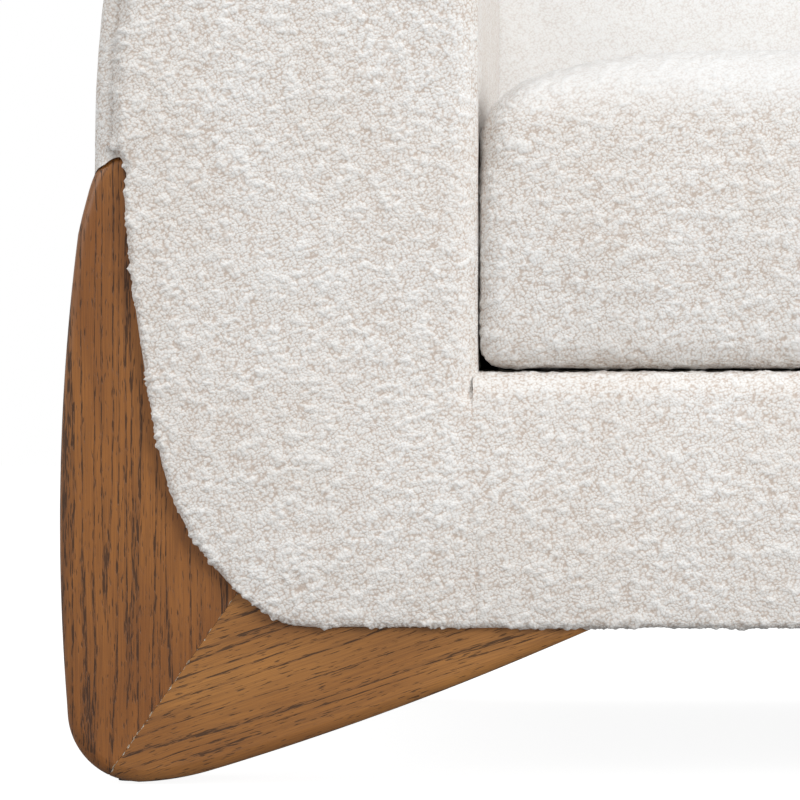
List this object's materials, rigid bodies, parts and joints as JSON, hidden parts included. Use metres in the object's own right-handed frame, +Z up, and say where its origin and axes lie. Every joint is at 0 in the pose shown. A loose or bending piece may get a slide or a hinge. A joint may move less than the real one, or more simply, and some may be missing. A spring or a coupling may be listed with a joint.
{
  "type": "sofa with wooden legs",
  "caption": "Upholstered sofa with broad rounded arms, a fixed leaning back and loose seat cushions, standing on mitred boomerang-shaped wooden corner legs.",
  "frame": {"origin": "on the floor, at the middle of the sofa's footprint", "axes": "+X along the sofa towards the right arm seen from the front, -Y towards the front, +Z up"},
  "size_m": [2.2, 0.92, 0.78],
  "materials": {
    "boucle": "cream looped wool-blend boucle",
    "stained_oak": "walnut-stained open-pore oak, satin lacquer",
    "beech": "raw turned beech",
    "frame_hardwood": "planed, unfinished",
    "plywood": "sanded birch plywood",
    "foam": "upholstery foam, open cell",
    "deck_cloth": "plain woven cotton",
    "dust_cloth": "spun-bonded black lining",
    "webbing": "elasticated woven webbing",
    "zip_tape": "woven tape with nylon coil teeth",
    "zip_metal": "satin nickel",
    "zinc_steel": "zinc plated",
    "spring_steel": "oiled spring wire",
    "brass_insert": "machined",
    "nylon": "moulded nylon"
  },
  "bodies": {
    "sofa_frame": {"leg_post_front_left": "stained_oak", "leg_post_front_right": "stained_oak", "leg_post_rear_left": "stained_oak", "leg_post_rear_right": "stained_oak", "leg_runner_front_left": "stained_oak", "leg_runner_front_right": "stained_oak", "leg_runner_rear_left": "stained_oak", "leg_runner_rear_right": "stained_oak", "leg_dowels": "beech", "leg_bolts": "zinc_steel", "leg_washers": "zinc_steel", "leg_inserts": "brass_insert", "floor_glides": "nylon", "leg_blocks": "frame_hardwood", "front_rail": "frame_hardwood", "back_rail": "frame_hardwood", "side_rail_left": "frame_hardwood", "side_rail_right": "frame_hardwood", "cross_rails": "frame_hardwood", "corner_blocks": "frame_hardwood", "frame_screws": "zinc_steel", "arm_front_board_left": "plywood", "arm_front_board_right": "plywood", "arm_rear_board_left": "plywood", "arm_rear_board_right": "plywood", "arm_top_rail_left": "frame_hardwood", "arm_top_rail_right": "frame_hardwood", "arm_outer_rail_left": "frame_hardwood", "arm_outer_rail_right": "frame_hardwood", "back_post_left": "frame_hardwood", "back_post_right": "frame_hardwood", "back_post_centre": "frame_hardwood", "back_top_rail": "frame_hardwood", "lumbar_rails": "frame_hardwood", "seat_springs": "spring_steel", "spring_clips": "zinc_steel", "back_webbing": "webbing", "deck_pad": "foam", "deck_cloth": "deck_cloth", "front_rail_pad": "foam", "front_rail_cover": "boucle", "arm_pad_left": "foam", "arm_pad_right": "foam", "arm_cover_left": "boucle", "arm_cover_right": "boucle", "arm_front_panel_left": "boucle", "arm_front_panel_right": "boucle", "back_pad": "foam", "back_cover": "boucle", "outer_back_panel": "boucle", "dust_cover": "dust_cloth"},
    "seat_cushion_left": {"cushion_core_left": "foam", "cushion_cover_left": "boucle", "cushion_zip_left": "zip_tape"},
    "seat_cushion_right": {"cushion_core_right": "foam", "cushion_cover_right": "boucle", "cushion_zip_right": "zip_tape"},
    "zip_pull_left": {"zip_slider_left": "zip_metal"},
    "zip_pull_right": {"zip_slider_right": "zip_metal"}
  },
  "joints": [
    {"name": "cushion_left_lift", "type": "slide", "parent": "sofa_frame", "child": "seat_cushion_left", "axis": [0, 0, 1], "range_m": [0, 0.4]},
    {"name": "cushion_right_lift", "type": "slide", "parent": "sofa_frame", "child": "seat_cushion_right", "axis": [0, 0, 1], "range_m": [0, 0.4]},
    {"name": "zip_left_run", "type": "slide", "parent": "seat_cushion_left", "child": "zip_pull_left", "axis": [-1, 0, 0], "range_m": [0, 0.715]},
    {"name": "zip_right_run", "type": "slide", "parent": "seat_cushion_right", "child": "zip_pull_right", "axis": [1, 0, 0], "range_m": [0, 0.715]}
  ]
}
